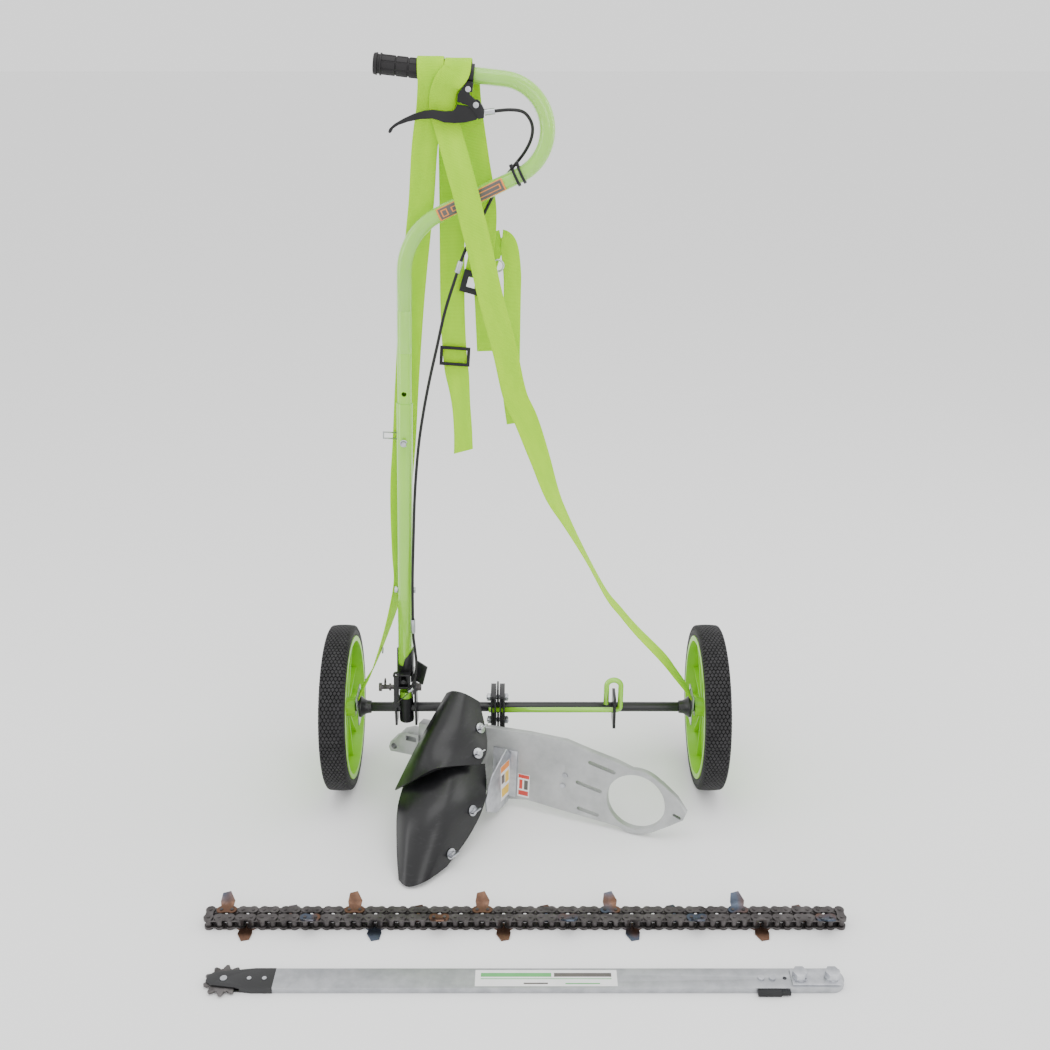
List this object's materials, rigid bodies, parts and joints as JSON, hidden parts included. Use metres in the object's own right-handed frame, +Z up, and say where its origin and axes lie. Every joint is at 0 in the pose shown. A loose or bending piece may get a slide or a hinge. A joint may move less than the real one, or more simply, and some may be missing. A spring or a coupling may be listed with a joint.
{
  "type": "trencher",
  "caption": "Trenching attachment kit: upright two-wheel cart with lever handle and webbing harness, adapter arm with rubber soil guard, cutter chain loop and guide bar.",
  "frame": {"origin": "on the ground, at the middle of the footprint of the cart and the loose pieces laid out in front of it", "axes": "+X along the axle to the right, +Y to the back (away from the laid-out bar), +Z up"},
  "size_m": [0.9824, 0.679, 1.2324],
  "materials": {
    "black_paint": "satin black powder coat",
    "green_paint": "gloss light green powder coat",
    "zinc": "bright zinc plate",
    "dark_steel": "plain steel, a little oily",
    "green_plastic": "moulded light green plastic",
    "tyre": "grey-black rubber with block tread",
    "black_plastic": "moulded black plastic",
    "clear_vinyl": "clear vinyl sleeve",
    "grip_rubber": "soft black rubber with ribs",
    "cable_jacket": "black cable jacket",
    "webbing": "woven light green webbing",
    "cast_aluminium": "sand-cast and machined, matt",
    "flap_rubber": "smooth black sheet rubber",
    "chain_steel": "dark oiled steel",
    "cutter_steel": "heat-blued and bronzed steel",
    "bar_steel": "ground steel"
  },
  "bodies": {
    "cart": {"axle": "black_paint", "axle_flanges": "black_paint", "strap_anchors": "zinc", "middle_bracket": "black_paint", "bracket_bolts": "zinc", "rod_plate": "black_paint", "foot_ears": "black_paint", "foot_sleeve": "black_plastic", "foot_stub": "green_paint", "pivot_pin": "dark_steel", "axle_caps": "zinc"},
    "left_wheel": {"wheel_left": "green_plastic", "tyre_left": "tyre"},
    "right_wheel": {"wheel_right": "green_plastic", "tyre_right": "tyre"},
    "mast": {"mast_socket": "black_paint", "foot_cover": "black_paint", "mast_tube": "green_paint", "mast_bolt": "zinc", "height_pin": "zinc", "handle_stem": "green_paint", "handle_bar": "green_paint", "handle_sleeve": "clear_vinyl", "grip": "grip_rubber", "lever_perch": "black_plastic", "perch_bolts": "zinc", "cable_ties": "black_plastic", "cable_housing": "cable_jacket", "cable_fittings": "zinc", "cable_wire": "dark_steel", "strap_left": "webbing", "strap_right": "webbing", "strap_back": "webbing", "strap_centre": "webbing", "strap_loop": "webbing", "strap_buckles": "black_plastic", "strap_rings": "zinc"},
    "lever": {"brake_lever": "black_plastic"},
    "latch_hook": {"latch": "black_paint"},
    "bail": {"pin_bail": "zinc"},
    "lock": {"lock_rod": "green_paint"},
    "adapter": {"arm": "cast_aluminium", "arm_screws": "zinc", "guard_shell": "black_paint", "guard_plate": "zinc", "flap_upper": "flap_rubber", "flap_lower": "flap_rubber", "wing_screws": "zinc"},
    "chain": {"chain_inner_plates": "chain_steel", "chain_outer_plates": "chain_steel", "chain_cutters": "cutter_steel", "chain_rollers": "chain_steel", "chain_pins": "chain_steel"},
    "bar": {"guide_bar": "bar_steel", "bar_nose": "black_paint", "clamp_plate": "zinc", "bar_fasteners": "zinc", "tensioner": "black_plastic"},
    "sprocket": {"nose_sprocket": "dark_steel"}
  },
  "joints": [
    {"name": "left_wheel_spin", "type": "hinge", "parent": "cart", "child": "left_wheel", "pos_m": [-0.3235, 0.1935, 0.146], "axis": [1, 0, 0], "continuous": true},
    {"name": "right_wheel_spin", "type": "hinge", "parent": "cart", "child": "right_wheel", "pos_m": [0.3235, 0.1935, 0.146], "axis": [1, 0, 0], "continuous": true},
    {"name": "mast_tilt", "type": "hinge", "parent": "cart", "child": "mast", "pos_m": [-0.211, 0.1935, 0.187], "axis": [1, 0, 0], "range_deg": [-60, 30], "deforming": ["strap_left", "strap_right"]},
    {"name": "lever_pull", "type": "hinge", "parent": "mast", "child": "lever", "pos_m": [-0.06963, 0.1805, 1.1627], "axis": [0, -1, 0], "range_deg": [-24, 0], "stiffness_Nm_per_rad": 0.6},
    {"name": "latch_swing", "type": "hinge", "parent": "mast", "child": "latch_hook", "pos_m": [-0.22236, 0.162, 0.23046], "axis": [0, -1, 0], "range_deg": [0, 6], "deforming": ["cable_wire"]},
    {"name": "bail_swing", "type": "hinge", "parent": "mast", "child": "bail", "pos_m": [-0.19343, 0.1935, 0.65067], "axis": [0, 1, 0], "range_deg": [0, 60]},
    {"name": "lock_rod_turn", "type": "hinge", "parent": "cart", "child": "lock", "pos_m": [0.05, 0.1785, 0.149], "axis": [1, 0, 0], "range_deg": [0, 120]},
    {"name": "adapter_pull", "type": "slide", "parent": "cart", "child": "adapter", "axis": [0, -1, 0], "range_m": [0, 0.03]},
    {"name": "chain_lift", "type": "slide", "parent": "cart", "child": "chain", "axis": [0, 0, 1], "range_m": [0, 0.1]},
    {"name": "bar_lift", "type": "slide", "parent": "cart", "child": "bar", "axis": [0, 0, 1], "range_m": [0, 0.1]},
    {"name": "sprocket_spin", "type": "hinge", "parent": "bar", "child": "sprocket", "pos_m": [-0.4355, -0.3105, 0.00475], "axis": [0, 0, 1], "continuous": true}
  ],
  "couplings": [
    {"joint": "latch_swing", "follows": "lever_pull", "ratio": -0.25}
  ]
}
